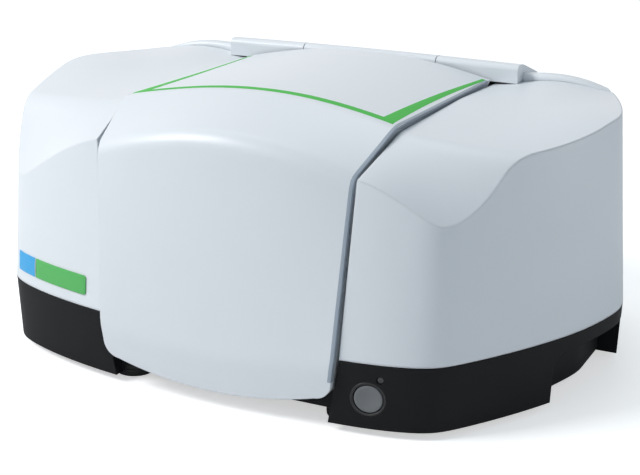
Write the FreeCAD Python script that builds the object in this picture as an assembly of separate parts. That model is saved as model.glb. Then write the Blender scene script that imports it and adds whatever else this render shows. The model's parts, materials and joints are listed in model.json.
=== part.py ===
import FreeCAD, Part
import math
import os

os.makedirs("parts", exist_ok=True)

V = FreeCAD.Vector
X, Y, Z = V(1, 0, 0), V(0, 1, 0), V(0, 0, 1)

# Whole instrument, seen from above: both halves of the outline where the white covers meet the dark base.
# The front right corner is cut off more than the front left one.
REAR_Y = 152.6
REAR_HALF = 140.0
OUTLINE_REAR = [(219, 44), (210, 72), (198, 102), (178, 133), (REAR_HALF, REAR_Y)]
OUTLINE_RIGHT = [(0, -148), (52, -147.4), (94, -145.7), (131, -139.2), (149, -131), (162, -117), (182, -88),
                 (201, -55), (213, -28), (221, 0), (223.5, 18)] + OUTLINE_REAR
OUTLINE_LEFT = [(0, -148), (52, -146.2), (92, -141.5), (131, -133.1), (165, -121.5), (183, -111), (194, -97),
                (205, -70), (213, -43), (220, -13), (223, 12)] + OUTLINE_REAR
PART_Z = 50.0
BASE_Z = 5.5
RAISED_Z = 10.0
FRONT_LEAN = 6.0
SIDE_LEAN = 3.7
BASE_TAPER = 1.8
COVER_WALL = 2.8
TRAY_WALL = 3.2
TRAY_FLOOR = 4.0
SEAM = 0.6

# Middle lid: half widths by height, gaps round it and its hinge axis.
LID_HALF = [(14.0, 84.5), (PART_Z, 87.0), (165.0, 93.0), (188.0, 101.0), (230.0, 101.0)]
LID_GAP = 2.4
LID_SKIN = 2.8
LID_FLANGE = 12.0
LID_REAR_Y = 90.0
LID_TOP_REAR_Z = 195.9
LID_REAR_ROUND = 5.0
HINGE_Y = 87.6
HINGE_Z = 189.5
RECESS_Y = -133.0
REAR_FRONT_Y = 93.2
STRIP_FRONT_Y = 104.0
HUMP_HALF = 119.0
HATCH_HALF = 55.0
HATCH_REAR_Y = 120.0
HATCH_LIP_Z = 184.0
REAR_LIP_Z = 181.0
SIDE_REAR_Y = 103.2

# Inside: the optics bench, the sample bay standing on it and the beam that crosses the bay along X.
BENCH_TOP_Z = 62.0
BENCH_THICK = 10.0
BENCH_BOTTOM_Z = BENCH_TOP_Z - BENCH_THICK
BAY_HALF = 83.5
BAY_FRONT_Y = -126.0
BAY_REAR_Y = 81.0
BAY_WALL = 3.0
BAY_FLOOR_Z = BENCH_TOP_Z + BAY_WALL
BEAM_Z = 112.0

TRAY_FLOOR_Z = BASE_Z + TRAY_FLOOR
MIDDLE_FLOOR_Z = RAISED_Z + TRAY_FLOOR
MIDDLE_HALF = 80.0
FOOT_R = 14.5
FOOT_SPOTS = [(-82.0, -116.0), (82.0, -116.0), (-150.0, 104.0), (150.0, 104.0)]
MOUNT_SPOTS = [(-152.0, -86.0), (152.0, -86.0), (-118.0, 108.0), (118.0, 108.0)]
BOSS_SPOTS = [(179.0, -75.0), (189.0, 86.0)]
REAR_BOSS_SPOT = (112.0, 138.0)
BOSS_Z = 40.0
GRIP_FRONT_Y, GRIP_REAR_Y = -54.0, 46.0
GRIP_TOP_Z = 40.0
GRIP_IN_X = 188.0
GRIP_WALL = 2.5

# Screws: shank and head, with the clearance round the shank.
SCREW_R = 2.0
SCREW_HEAD_R = 3.6
SCREW_HEAD_H = 3.0
SCREW_CLEAR = 0.15
RUN_FIT = 0.05
REST_FIT = 0.1


def box(x0, x1, y0, y1, z0, z1):
    return Part.makeBox(x1 - x0, y1 - y0, z1 - z0, V(x0, y0, z0))


def rod(radius, length, base, direction=Z):
    return Part.makeCylinder(radius, length, V(*base), direction)


def tube(outer, inner, length, base, direction=Z):
    grow = V(direction).multiply(0.5)
    return rod(outer, length, base, direction).cut(rod(inner, length + 1.0, tuple(V(*base) - grow), direction))


def union(shapes):
    first = shapes[0]
    return first.fuse(shapes[1:]).removeSplitter() if len(shapes) > 1 else first


def mirrored(shape):
    return shape.mirror(V(0, 0, 0), X)


def on_side(shape, side):
    """A shape drawn for the right-hand side (1), mirrored for the left-hand side (-1)."""
    return shape if side > 0 else mirrored(shape)


def prism(points, direction):
    """Straight prism from a closed list of points, swept along one vector."""
    return Part.Face(Part.makePolygon([V(*p) for p in points] + [V(*points[0])])).extrude(direction)


def export(name, shape):
    if shape.ShapeType == "Compound" and len(shape.Solids) == 1:
        shape = shape.Solids[0]
    shape.exportStep("parts/%s.step" % name)


def outline_wire(z, front_in, side_in):
    """Outline at height z, moved inward by front_in where it faces forward and side_in where it faces aside."""
    full = [(-x, y) for x, y in reversed(OUTLINE_LEFT[1:])] + OUTLINE_RIGHT
    count = len(full)
    moved = []
    for i, (x, y) in enumerate(full):
        ax, ay = full[max(i - 1, 0)]
        bx, by = full[min(i + 1, count - 1)]
        length = math.hypot(bx - ax, by - ay)
        nx, ny = (by - ay) / length, -(bx - ax) / length
        if i in (0, count - 1):
            nx, ny = 0.0, 1.0
        shift = front_in + (side_in - front_in) * abs(nx)
        moved.append(V(x - nx * shift, y - ny * shift, z))
    curve = Part.BSplineCurve()
    curve.interpolate(moved)
    return Part.Wire([curve.toShape(), Part.makeLine(moved[-1], moved[0])])


def cover_block(inset, z0, z1):
    """Solid inside the leaning outer walls between two heights, all walls moved in by inset."""
    def level(z):
        rise = z - PART_Z
        return outline_wire(z, inset + rise * math.tan(math.radians(FRONT_LEAN)),
                            inset + rise * math.tan(math.radians(SIDE_LEAN)))
    return Part.makeLoft([level(z0), level(z1)], True, True)


def base_block(inset, z0, z1):
    def level(z):
        taper = BASE_TAPER * (PART_Z - z) / (PART_Z - BASE_Z)
        return outline_wire(z, inset + taper, inset + taper)
    return Part.makeLoft([level(z0), level(z1)], True, True)


def corner_curve(start, corner, end, radius):
    """Round corner as one cubic curve, so that lofts through several sections stay smooth."""
    run = start.distanceToPoint(corner)
    turn = 2.0 * math.atan(run / radius)
    handle = 4.0 / 3.0 * math.tan(turn / 4.0) * radius / run
    curve = Part.BezierCurve()
    curve.setPoles([start, start + (corner - start) * handle, end + (corner - end) * handle, end])
    return curve.toShape()


def rounded_section(points, radii, x):
    """Closed section in the plane X = x; corners with a radius become tangent curves."""
    count = len(points)
    corners = [V(x, *point) for point in points]
    starts, ends = [], []
    for i, corner in enumerate(corners):
        back, ahead = corners[i - 1] - corner, corners[(i + 1) % count] - corner
        run = radii[i] / math.tan(back.getAngle(ahead) / 2.0)
        starts.append(corner + back.normalize() * run)
        ends.append(corner + ahead.normalize() * run)
    edges = []
    for i in range(count):
        if radii[i] > 0:
            edges.append(corner_curve(starts[i], corners[i], ends[i], radii[i]))
        edges.append(Part.makeLine(ends[i], starts[(i + 1) % count]))
    return Part.Wire(edges)


def shifted_profile(points, depth):
    """Moves an open run of profile lines inward by depth, measured square to each line."""
    lines = []
    for (y0, z0), (y1, z1) in zip(points[:-1], points[1:]):
        length = math.hypot(y1 - y0, z1 - z0)
        ny, nz = (z1 - z0) / length, -(y1 - y0) / length
        lines.append(((y0 + ny * depth, z0 + nz * depth), ((y1 - y0) / length, (z1 - z0) / length)))
    out = [lines[0][0]]
    for (p, d), (q, e) in zip(lines[:-1], lines[1:]):
        cross = d[0] * e[1] - d[1] * e[0]
        t = ((q[0] - p[0]) * e[1] - (q[1] - p[1]) * e[0]) / cross
        out.append((p[0] + d[0] * t, p[1] + d[1] * t))
    last, step = lines[-1]
    reach = math.hypot(points[-1][0] - points[-2][0], points[-1][1] - points[-2][1])
    out.append((last[0] + step[0] * reach, last[1] + step[1] * reach))
    return out


# Middle lid sections: x, front foot, grip line, crease, top edge and rear end as (y, z).
LID_SECTIONS = [
    (0.0, (-149.0, 0.0), (-152.8, 39.0), (-140.5, 184.0), (-78.0, 200.0), (110.0, 195.3)),
    (28.0, (-148.7, 0.0), (-152.4, 40.0), (-139.9, 182.0), (-79.0, 199.0), (110.0, 194.2)),
    (56.0, (-148.0, 0.0), (-151.3, 42.0), (-138.1, 176.6), (-81.3, 196.1), (110.0, 190.9)),
    (84.0, (-146.7, 0.0), (-149.7, 45.0), (-134.8, 168.5), (-84.8, 191.8), (110.0, 185.6)),
    (112.0, (-144.8, 0.0), (-147.5, 48.0), (-130.0, 158.6), (-89.4, 186.4), (110.0, 178.6)),
]


def lid_body(depth):
    """Solid under the middle lid skin, moved inward by depth."""
    wires = []
    for x, *profile in LID_SECTIONS:
        line = shifted_profile(profile, depth)
        foot, grip, crease, top, rear = line
        corners = [(foot[0], -60.0), foot, grip, crease, top, rear, (rear[0], -60.0)]
        radii = [0, 0, max(40.0 - depth, 20.0), max(14.0 - depth, 3.0), max(26.0 - depth, 8.0), 0, 0]
        wires.append((x, corners, radii))
    left = [rounded_section(c, r, -x) for x, c, r in reversed(wires[1:])]
    right = [rounded_section(c, r, x) for x, c, r in wires]
    return Part.makeLoft(left + right, True, False)


def lid_front(inset):
    """Front view of the lid as a prism along Y: straight sides, bowed lower edge, round lower corners."""
    side = [(half - inset, z) for z, half in LID_HALF]
    low, corner = 22.3 + inset, 12.0
    x0 = side[0][0]
    foot = V(x0 - corner + 1.0, -200, low)
    turn = V(x0 - 3.0, -200, low + 3.4)
    rise = V(x0 + 0.6, -200, low + corner)
    edges = []
    chain = [rise] + [V(x, -200, z) for x, z in side[1:]]
    for a, b in zip(chain[:-1], chain[1:]):
        edges.append(Part.makeLine(a, b))
    top = chain[-1]
    edges.append(Part.makeLine(top, V(-top.x, top.y, top.z)))
    for a, b in zip(reversed(chain[1:]), reversed(chain[:-1])):
        edges.append(Part.makeLine(V(-a.x, a.y, a.z), V(-b.x, b.y, b.z)))
    edges.append(Part.Arc(V(-rise.x, rise.y, rise.z), V(-turn.x, turn.y, turn.z),
                          V(-foot.x, foot.y, foot.z)).toShape())
    edges.append(Part.Arc(V(-foot.x, foot.y, foot.z), V(0, -200, 12.8 + inset), foot).toShape())
    edges.append(Part.Arc(foot, turn, rise).toShape())
    return Part.Face(Part.Wire(edges)).extrude(V(0, 400, 0))


def lid_rear_round():
    """Takes off the lid's top rear edge so that it clears the rear cover while it opens."""
    r = LID_REAR_ROUND
    block = box(-70, 70, LID_REAR_Y - r, LID_REAR_Y + 1, HINGE_Z, 210)
    return block.cut(rod(r, 140, (-70, LID_REAR_Y - r, LID_TOP_REAR_Z - r), X).fuse(
        box(-70, 70, LID_REAR_Y - r - 1, LID_REAR_Y, HINGE_Z - 1, LID_TOP_REAR_Z - r)))


def sample_lid():
    skin = lid_body(0.0).common(lid_front(0.0)).common(box(-130, 130, -170, LID_REAR_Y, 0, 230))
    skin = skin.cut(lid_rear_round())
    deep = lid_body(LID_FLANGE)
    hollow = lid_body(LID_SKIN).common(lid_front(LID_SKIN))
    return skin.cut(deep).cut(hollow)


# White side cover sections: x, top edge (y, z), fall of the shoulder per mm forward, top heights at the
# middle and at the rear.
MODULE_SECTIONS = [(80.0, -84.0, 187.0, 0.36, 184.5, 174.0), (112.0, -84.5, 183.6, 0.50, 183.0, 177.0),
                   (144.0, -84.0, 180.0, 0.95, 182.5, 184.5), (176.0, -79.5, 176.4, 1.70, 184.0, 178.5),
                   (208.0, -70.0, 173.2, 2.40, 185.2, 173.0), (240.0, -56.0, 170.5, 2.90, 187.0, 170.0)]
MODULE_MIDDLE_Y, MODULE_REAR_Y = 20.0, 170.0
MODULE_CROWN_R = 200.0


def module_body(depth):
    wires = []
    for x, top_y, top_z, fall, middle_z, rear_z in MODULE_SECTIONS:
        front_y = -210.0
        profile = [(front_y, top_z - fall * (top_y - front_y)), (top_y, top_z),
                   (MODULE_MIDDLE_Y, middle_z), (MODULE_REAR_Y, rear_z)]
        front, top, middle, rear = shifted_profile(profile, depth)
        corners = [(front[0], -300.0), front, top, middle, rear, (rear[0], -300.0)]
        wires.append(rounded_section(corners, [0, 0, 24.0 - depth, MODULE_CROWN_R, 0, 0], x))
    return Part.makeLoft(wires, True, False)


def module_inner_side(extra):
    """Prism that keeps what lies outside the lid's edge by the lid gap plus extra."""
    side = [(half + LID_GAP + extra, z) for z, half in LID_HALF]
    points = [(side[0][0], -200, -20)] + [(x, -200, z) for x, z in side] + [(260, -200, 230), (260, -200, -20)]
    return prism(points, V(0, 400, 0))


def side_cover(side):
    """White cover of one side, a shell open at the bottom and at the rear."""
    z0 = PART_Z + SEAM
    rear = box(0, 260, -200, SIDE_REAR_Y, 0, 230)
    outer = on_side(module_body(0.0).common(module_inner_side(0.0)).common(rear), side)
    inner = on_side(module_body(COVER_WALL).common(module_inner_side(COVER_WALL)), side)
    return outer.common(cover_block(0.0, z0, 215.0)).cut(inner.common(cover_block(COVER_WALL, z0 - 1.0, 215.0)))


# Rear cover: top heights by x of the raised middle and of the outer strips. Behind its flat top it falls away.
HUMP_SECTIONS = [(0.0, 195.4), (45.0, 195.2), (85.0, 194.8), (125.0, 194.2)]
STRIP_SECTIONS = [(105.0, 185.6), (134.0, 187.6), (160.0, 186.2), (182.0, 180.0), (235.0, 166.0)]
REAR_FLAT = 11.0
REAR_FALL = 24.0
REAR_END_Y = 170.0


def rear_section(x, front_y, top_z, nose, depth):
    profile = [(front_y, 0.0), (front_y, top_z), (front_y + REAR_FLAT, top_z - 0.6), (REAR_END_Y, top_z - REAR_FALL)]
    foot, nose_top, back, rear = shifted_profile(profile, depth)
    corners = [(foot[0], -60.0), nose_top, back, rear, (rear[0], -60.0)]
    return rounded_section(corners, [0, max(nose - depth, 1.0), 22.0 - depth, 0, 0], x)


def rear_body(depth):
    hump = [rear_section(x, REAR_FRONT_Y, z, 4.0, depth) for x, z in HUMP_SECTIONS]
    hump = [rear_section(-x, REAR_FRONT_Y, z, 4.0, depth) for x, z in reversed(HUMP_SECTIONS[1:])] + hump
    strip = [rear_section(x, STRIP_FRONT_Y, z, 3.0, depth) for x, z in STRIP_SECTIONS]
    middle = Part.makeLoft(hump, True, False).common(
        box(-HUMP_HALF + depth, HUMP_HALF - depth, 0, 180, -60, 230))
    side = Part.makeLoft(strip, True, False)
    return middle.fuse([side, mirrored(side)])


def hatch_zone(shrink):
    return box(-HATCH_HALF + shrink, HATCH_HALF - shrink, 80, HATCH_REAR_Y - shrink, HATCH_LIP_Z - 1.0 + shrink, 230)


def rear_shell():
    outer = cover_block(0.0, PART_Z + SEAM, 215.0).common(rear_body(0.0))
    inner = cover_block(COVER_WALL, PART_Z - 1.0, 215.0).common(rear_body(COVER_WALL))
    return outer.cut(inner)


def rear_cover(shell):
    """White cover behind the lid: raised middle with a lip over the hinge, lower strips behind the side covers."""
    cover = shell.cut(box(-130, 130, 80, STRIP_FRONT_Y + 1.0, 0, REAR_LIP_Z))
    front = box(HUMP_HALF - 20, 235, 80, STRIP_FRONT_Y + 5.0, 0, REAR_LIP_Z - 4.0).common(
        cover_block(COVER_WALL, PART_Z - 1.0, 215.0))
    cover = cover.cut([front, mirrored(front), hatch_zone(0.0)])
    for sx in (-1, 1):
        x, y = sx * REAR_BOSS_SPOT[0], REAR_BOSS_SPOT[1]
        boss = rod(7.0, 12.0, (x, y, PART_Z + SEAM)).fuse(rod(5.0, PART_Z + SEAM - BOSS_Z, (x, y, BOSS_Z)))
        web = box(x - 2, x + 2, y, REAR_Y - 2.0, PART_Z + SEAM, PART_Z + 12).common(
            cover_block(1.0, PART_Z, 90.0))
        cover = cover.fuse([boss, web]).cut(rod(SCREW_R + SCREW_CLEAR, 14.0, (x, y, BOSS_Z - 1)))
    return cover


# The hatch lifts straight out on one guide pin that runs in the cartridge frame.
GUIDE_SPOT = (0.0, 107.0)
GUIDE_R = 2.5
GUIDE_LOW_Z = 132.0
GUIDE_COLLAR_R = 3.6


def desiccant_hatch(shell):
    hatch = shell.common(hatch_zone(SEAM))
    pin = rod(GUIDE_R, 200 - GUIDE_LOW_Z, (*GUIDE_SPOT, GUIDE_LOW_Z))
    collar = rod(GUIDE_COLLAR_R, 200 - FRAME_TOP_Z, (*GUIDE_SPOT, FRAME_TOP_Z))
    return hatch.fuse(pin.fuse(collar).common(rear_body(COVER_WALL - 0.4)))


def base_tray():
    tray = base_block(0.0, BASE_Z, PART_Z)
    hollow = base_block(TRAY_WALL, TRAY_FLOOR_Z, PART_Z + 1.0)
    keep_floor = box(-MIDDLE_HALF - TRAY_FLOOR, MIDDLE_HALF + TRAY_FLOOR, -170, 170, 0, MIDDLE_FLOOR_Z)
    keep_front = box(-LID_HALF[1][1] - 6.4, LID_HALF[1][1] + 6.4, -170, RECESS_Y + TRAY_WALL, 0, 60)
    tray = tray.cut(hollow.cut([keep_floor, keep_front]))
    recess = prism([(-MIDDLE_HALF, -170, 0), (MIDDLE_HALF, -170, 0), (LID_HALF[1][1] + 3, -170, PART_Z + 1),
                    (-LID_HALF[1][1] - 3, -170, PART_Z + 1)], V(0, 170 + RECESS_Y, 0))
    cuts = [recess, box(-MIDDLE_HALF, MIDDLE_HALF, -170, 170, 0, RAISED_Z)]
    adds = []
    for x, y in FOOT_SPOTS:
        side = 1 if x > 0 else -1
        adds.append(rod(FOOT_R + 4.0, MIDDLE_FLOOR_Z - BASE_Z, (x, y, BASE_Z)))
        cuts.append(rod(FOOT_R + 1.5, RAISED_Z, (x, y, 0)))
        if y < 0:
            cuts.append(box(min(x, x - side * 30), max(x, x - side * 30), y - FOOT_R - 1.5, y + FOOT_R + 1.5,
                            0, RAISED_Z))
        cuts.append(rod(SCREW_R + SCREW_CLEAR, 30, (x, y, 0)))
    for x, y in BOSS_SPOTS:
        for sx in (-1, 1):
            adds.append(rod(6.0, BOSS_Z - BASE_Z, (sx * x, y, BASE_Z)))
            cuts.append(rod(SCREW_R + SCREW_CLEAR, 40, (sx * x, y, 3)))
            cuts.append(rod(SCREW_HEAD_R + 0.5, SCREW_HEAD_H + 0.5, (sx * x, y, BASE_Z - 0.5)))
    for sx in (-1, 1):
        x, y = sx * REAR_BOSS_SPOT[0], REAR_BOSS_SPOT[1]
        adds.append(rod(5.5, BOSS_Z - BASE_Z, (x, y, BASE_Z)))
        cuts.append(rod(SCREW_R + SCREW_CLEAR, 40, (x, y, 3)))
        cuts.append(rod(SCREW_HEAD_R + 0.5, SCREW_HEAD_H + 0.5, (x, y, BASE_Z - 0.5)))
        cuts.append(on_side(grip_space(0.0), sx))
    inside = base_block(0.5, BASE_Z, PART_Z)
    tray = tray.fuse([a.common(inside) for a in adds]).cut(cuts)
    tray = tray.cut([rod(BEZEL_R, 40, tuple(BUTTON_SPOT + BUTTON_OUT * -20), BUTTON_OUT),
                     rod(LAMP_R, 40, tuple(LAMP_SPOT + BUTTON_OUT * -20), BUTTON_OUT)])
    return tray.cut(box(-PANEL_HALF, PANEL_HALF, 130, 160, PANEL_LOW_Z, PANEL_HIGH_Z))


def grip_space(grow):
    """Room for the fingers under each side: open below and outward, round at its upper front corner."""
    y0, y1 = GRIP_FRONT_Y - grow, GRIP_REAR_Y + grow
    top, radius = GRIP_TOP_Z + grow, 12.0 + grow
    edges = [Part.makeLine(V(GRIP_IN_X - grow, y0, 0), V(GRIP_IN_X - grow, y0, top - radius)),
             Part.Arc(V(GRIP_IN_X - grow, y0, top - radius),
                      V(GRIP_IN_X - grow, y0 + radius * 0.2929, top - radius * 0.2929),
                      V(GRIP_IN_X - grow, y0 + radius, top)).toShape(),
             Part.makeLine(V(GRIP_IN_X - grow, y0 + radius, top), V(GRIP_IN_X - grow, y1, top)),
             Part.makeLine(V(GRIP_IN_X - grow, y1, top), V(GRIP_IN_X - grow, y1, 0)),
             Part.makeLine(V(GRIP_IN_X - grow, y1, 0), V(GRIP_IN_X - grow, y0, 0))]
    return Part.Face(Part.Wire(edges)).extrude(V(60, 0, 0))


def handle_liners():
    inside = base_block(TRAY_WALL, TRAY_FLOOR_Z, PART_Z)
    grips = [on_side(grip_space(GRIP_WALL).cut(grip_space(0.0)), side) for side in (1, -1)]
    return Part.makeCompound([grip.common(inside) for grip in grips])


def rubber_feet():
    feet = []
    for x, y in FOOT_SPOTS:
        foot = Part.makeCone(FOOT_R - 1.0, FOOT_R, 2.0, V(x, y, 0)).fuse(rod(FOOT_R, RAISED_Z - 2.0, (x, y, 2.0)))
        foot = foot.cut([rod(SCREW_R + SCREW_CLEAR, 20, (x, y, -1)), rod(SCREW_HEAD_R + 0.4, 3.0 + SCREW_HEAD_H, (x, y, -1))])
        feet.append(foot.removeSplitter())
    return Part.makeCompound(feet)


def screw(x, y, head_base, reach, up):
    """Round-headed screw along Z: head_base is the face the head rests on, reach the shank length."""
    if up:
        return rod(SCREW_R, reach, (x, y, head_base)).fuse(
            rod(SCREW_HEAD_R, SCREW_HEAD_H, (x, y, head_base - SCREW_HEAD_H))).removeSplitter()
    return rod(SCREW_R, reach, (x, y, head_base - reach)).fuse(
        rod(SCREW_HEAD_R, SCREW_HEAD_H, (x, y, head_base))).removeSplitter()


def foot_screws():
    return Part.makeCompound([screw(x, y, 2.0 + SCREW_HEAD_H, 12.0, True) for x, y in FOOT_SPOTS])


def cover_screws():
    spots = BOSS_SPOTS + [REAR_BOSS_SPOT]
    return Part.makeCompound([screw(sx * x, y, BASE_Z + SCREW_HEAD_H, 44.0, True) for x, y in spots for sx in (-1, 1)])


# Power button and lamp on the front right block; the wall there is turned and leans out a little.
BUTTON_TURN = 10.0
WALL_TILT = math.degrees(math.atan(BASE_TAPER / (PART_Z - BASE_Z)))
BUTTON_OUT = V(math.sin(math.radians(BUTTON_TURN)), -math.cos(math.radians(BUTTON_TURN)),
               -math.tan(math.radians(WALL_TILT)))
BUTTON_OUT.normalize()
BUTTON_SPOT = V(108.2, -142.2, 26.1)
LAMP_SPOT = V(116.1, -141.4, 40.0)
BEZEL_R = 12.0
BEZEL_IN_R = 10.0
BUTTON_R = 9.5
BUTTON_TRAVEL = 1.5
LAMP_R = 2.6


def button_bezel():
    return tube(BEZEL_R, BEZEL_IN_R, 8.0, tuple(BUTTON_SPOT + BUTTON_OUT * -7.1), BUTTON_OUT)


def power_button():
    cap = rod(BUTTON_R, 5.0, tuple(BUTTON_SPOT + BUTTON_OUT * -4.4), BUTTON_OUT)
    stem = rod(3.0, 9.0, tuple(BUTTON_SPOT + BUTTON_OUT * -13.4), BUTTON_OUT)
    return cap.fuse(stem).removeSplitter()


def button_frame(x0, x1, out0, out1, z0, z1):
    """Box laid square to the button axis, measured from the button spot."""
    block = box(x0, x1, -out1, -out0, z0, z1)
    block.rotate(V(0, 0, 0), Z, BUTTON_TURN)
    block.translate(V(BUTTON_SPOT.x, BUTTON_SPOT.y, 0))
    return block


def switch_board():
    board = button_frame(-3, 18, -18.0, -16.4, TRAY_FLOOR_Z, 44)
    switch = rod(4.0, 1.4, tuple(BUTTON_SPOT + BUTTON_OUT * -16.4), BUTTON_OUT)
    foot = button_frame(0, 12, -26.0, -18.0, TRAY_FLOOR_Z, TRAY_FLOOR_Z + 3)
    pipe = rod(1.6, 9.4, tuple(LAMP_SPOT + BUTTON_OUT * -18.0), BUTTON_OUT)
    return board.fuse([switch, foot, pipe]).removeSplitter()


def status_lamp():
    return rod(LAMP_R - 0.05, 9.0, tuple(LAMP_SPOT + BUTTON_OUT * -8.4), BUTTON_OUT)


# Rear panel with the sockets, set in the rear wall of the tray.
PANEL_HALF = 78.0
PANEL_LOW_Z, PANEL_HIGH_Z = 17.0, 45.0
PANEL_RIM = 7.0
PANEL_Y = 139.6
PANEL_THICK = 2.0
INLET = (34.0, 66.0)
SOCKETS = [(-66.0, -49.0), (-40.0, -26.0), (-18.0, -4.0)]


def rear_panel():
    low, high = PANEL_LOW_Z - 3.0, PANEL_HIGH_Z + 4.0
    plate = box(-PANEL_HALF - PANEL_RIM, PANEL_HALF + PANEL_RIM, PANEL_Y, PANEL_Y + PANEL_THICK, low, high)
    rim = box(-PANEL_HALF - PANEL_RIM, PANEL_HALF + PANEL_RIM, PANEL_Y, REAR_Y, low, high)
    rim = rim.common(base_block(TRAY_WALL, BASE_Z, PANEL_HIGH_Z + 5.0))
    rim = rim.cut(box(-PANEL_HALF, PANEL_HALF, 130, 160, PANEL_LOW_Z, PANEL_HIGH_Z))
    panel = plate.fuse(rim)
    holes = [box(INLET[0] + 2, INLET[1] - 2, 130, 150, 20, 42)]
    holes += [box(a, b, 130, 150, 23, 37) for a, b in SOCKETS]
    return panel.cut(holes).removeSplitter()


def power_inlet():
    x0, x1 = INLET
    flange = box(x0, x1, PANEL_Y + PANEL_THICK, PANEL_Y + PANEL_THICK + 2, 18, 44)
    body = box(x0 + 2.2, x1 - 2.2, PANEL_Y - 18, PANEL_Y + PANEL_THICK, 20.2, 41.8)
    mouth = box(x0 + 5, x1 - 5, PANEL_Y - 10, PANEL_Y + 10, 23, 39)
    pins = [box(x - 1, x + 1, PANEL_Y - 10, PANEL_Y - 2, z - 2.5, z + 2.5)
            for x, z in ((x0 + 10, 29), (x1 - 10, 29), ((x0 + x1) / 2, 34))]
    return flange.fuse(body).cut(mouth).fuse(pins).removeSplitter()


def data_sockets():
    out = []
    for a, b in SOCKETS:
        shell = box(a + 0.1, b - 0.1, PANEL_Y - 14, PANEL_Y + PANEL_THICK + 1, 23.1, 36.9)
        out.append(shell.cut(box(a + 1.6, b - 1.6, PANEL_Y - 11, PANEL_Y + 10, 24.6, 35.4)))
    return Part.makeCompound(out)


# Blank two-part marker plate on the front of the left cover.
MARKER_X = (-178.2, -156.9, -105.2)
MARKER_Z = (59.0, 72.4)
MARKER_THICK = 1.2


def marker_plate(x0, x1):
    skin = cover_block(-MARKER_THICK - REST_FIT, 55.0, 80.0).cut(cover_block(-REST_FIT, PART_Z + SEAM, 215.0))
    return skin.common(box(x0, x1, -160, -60, *MARKER_Z))


def finish_side_cover(cover, side):
    """Adds the screw bosses inside the cover, the opening for the beam and room for the bench edge."""
    for x, y in BOSS_SPOTS:
        collar = rod(7.0, 12.0, (x, y, PART_Z + SEAM)).fuse(
            box(x, x + 22, y - 2.5, y + 2.5, PART_Z + SEAM, PART_Z + 12))
        pillar = rod(5.0, PART_Z + SEAM - BOSS_Z + 1, (x, y, BOSS_Z))
        cover = cover.fuse([on_side(collar, side).common(cover_block(1.0, PART_Z, 90.0)), on_side(pillar, side)])
        cover = cover.cut(rod(SCREW_R + SCREW_CLEAR, 14.0, (side * x, y, BOSS_Z - 1)))
    room = box(80, 102, -122, 110, 40, BENCH_TOP_Z + REST_FIT)
    return cover.cut([on_side(rod(17.0, 30.0, (80, 0, BEAM_Z), X), side), on_side(room, side)])


# Green line let into the top of the lid: outer half width, front and rear ends, widths of its runs.
TRIM_HALF = 98.4
TRIM_MIDDLE_Y, TRIM_CORNER_Y = -78.6, -86.4
TRIM_REAR_Y = 82.0
TRIM_FRONT_W = 4.6
TRIM_SIDE_W = (6.5, 2.4)
TRIM_SINK = 0.9
TRIM_PROUD = 0.15


def lid_trim():
    """Flat loop seen from above, cut to the lid's crowned top; its front run bows with the lid's top edge."""
    w0, w1 = TRIM_SIDE_W
    z = 150.0
    corner, rear = TRIM_HALF, TRIM_REAR_Y
    inner_corner = corner - w0
    outer_arc = Part.Arc(V(-corner, TRIM_CORNER_Y, z), V(0, TRIM_MIDDLE_Y, z), V(corner, TRIM_CORNER_Y, z))
    inner_arc = Part.Arc(V(inner_corner, TRIM_CORNER_Y + TRIM_FRONT_W + 0.6, z), V(0, TRIM_MIDDLE_Y + TRIM_FRONT_W, z),
                         V(-inner_corner, TRIM_CORNER_Y + TRIM_FRONT_W + 0.6, z))
    right = [V(corner, TRIM_CORNER_Y, z), V(corner, rear, z), V(corner - w1, rear, z),
             V(inner_corner, TRIM_CORNER_Y + TRIM_FRONT_W + 0.6, z)]
    left = [V(-p.x, p.y, p.z) for p in reversed(right)]
    edges = [outer_arc.toShape()] + [Part.makeLine(a, b) for a, b in zip(right[:-1], right[1:])]
    edges += [inner_arc.toShape()] + [Part.makeLine(a, b) for a, b in zip(left[:-1], left[1:])]
    loop = Part.Face(Part.Wire(edges)).extrude(V(0, 0, 80))
    return loop.common(lid_body(-TRIM_PROUD)).cut(lid_body(TRIM_SINK))


# Lid hinge near the middle of the rear edge: brackets on the frame, leaves under the lid, pins between.
HINGE_X = 20.0
HINGE_HALF = 5.0
HINGE_BARREL_R = 3.0
HINGE_PIN_R = 1.5
LEAF_IN, LEAF_OUT = 26.0, 38.0
FRAME_FRONT_Y = 97.0
FRAME_TOP_Z = 172.0


def hinge_brackets():
    out = []
    for sx in (-1, 1):
        x0, x1 = sx * HINGE_X - HINGE_HALF, sx * HINGE_X + HINGE_HALF
        barrel = rod(HINGE_BARREL_R, x1 - x0, (x0, HINGE_Y, HINGE_Z), X)
        neck = box(x0, x1, HINGE_Y - 2.5, HINGE_Y + 2.5, 168, HINGE_Z)
        shelf = box(x0, x1, HINGE_Y - 2.5, FRAME_FRONT_Y, 168, 173)
        leaf = box(x0 - 4, x1 + 4, FRAME_FRONT_Y - 3, FRAME_FRONT_Y, 140, 173)
        part = union([barrel, neck, shelf, leaf])
        out.append(part.cut(rod(HINGE_PIN_R + 0.02, 20, (x0 - 5, HINGE_Y, HINGE_Z), X)))
    return Part.makeCompound(out)


def hinge_leaves():
    under = lid_body(LID_SKIN)
    out = []
    for sx in (-1, 1):
        x0 = LEAF_IN if sx > 0 else -LEAF_OUT
        block = box(x0, x0 + LEAF_OUT - LEAF_IN, 70, HINGE_Y, 186, 205)
        nose = rod(HINGE_BARREL_R, LEAF_OUT - LEAF_IN, (x0, HINGE_Y, HINGE_Z), X)
        part = block.fuse(nose).common(under)
        part = part.cut(rod(HINGE_PIN_R + RUN_FIT, 30, (x0 - 5, HINGE_Y, HINGE_Z), X))
        out.append(part.removeSplitter())
    return Part.makeCompound(out)


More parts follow.
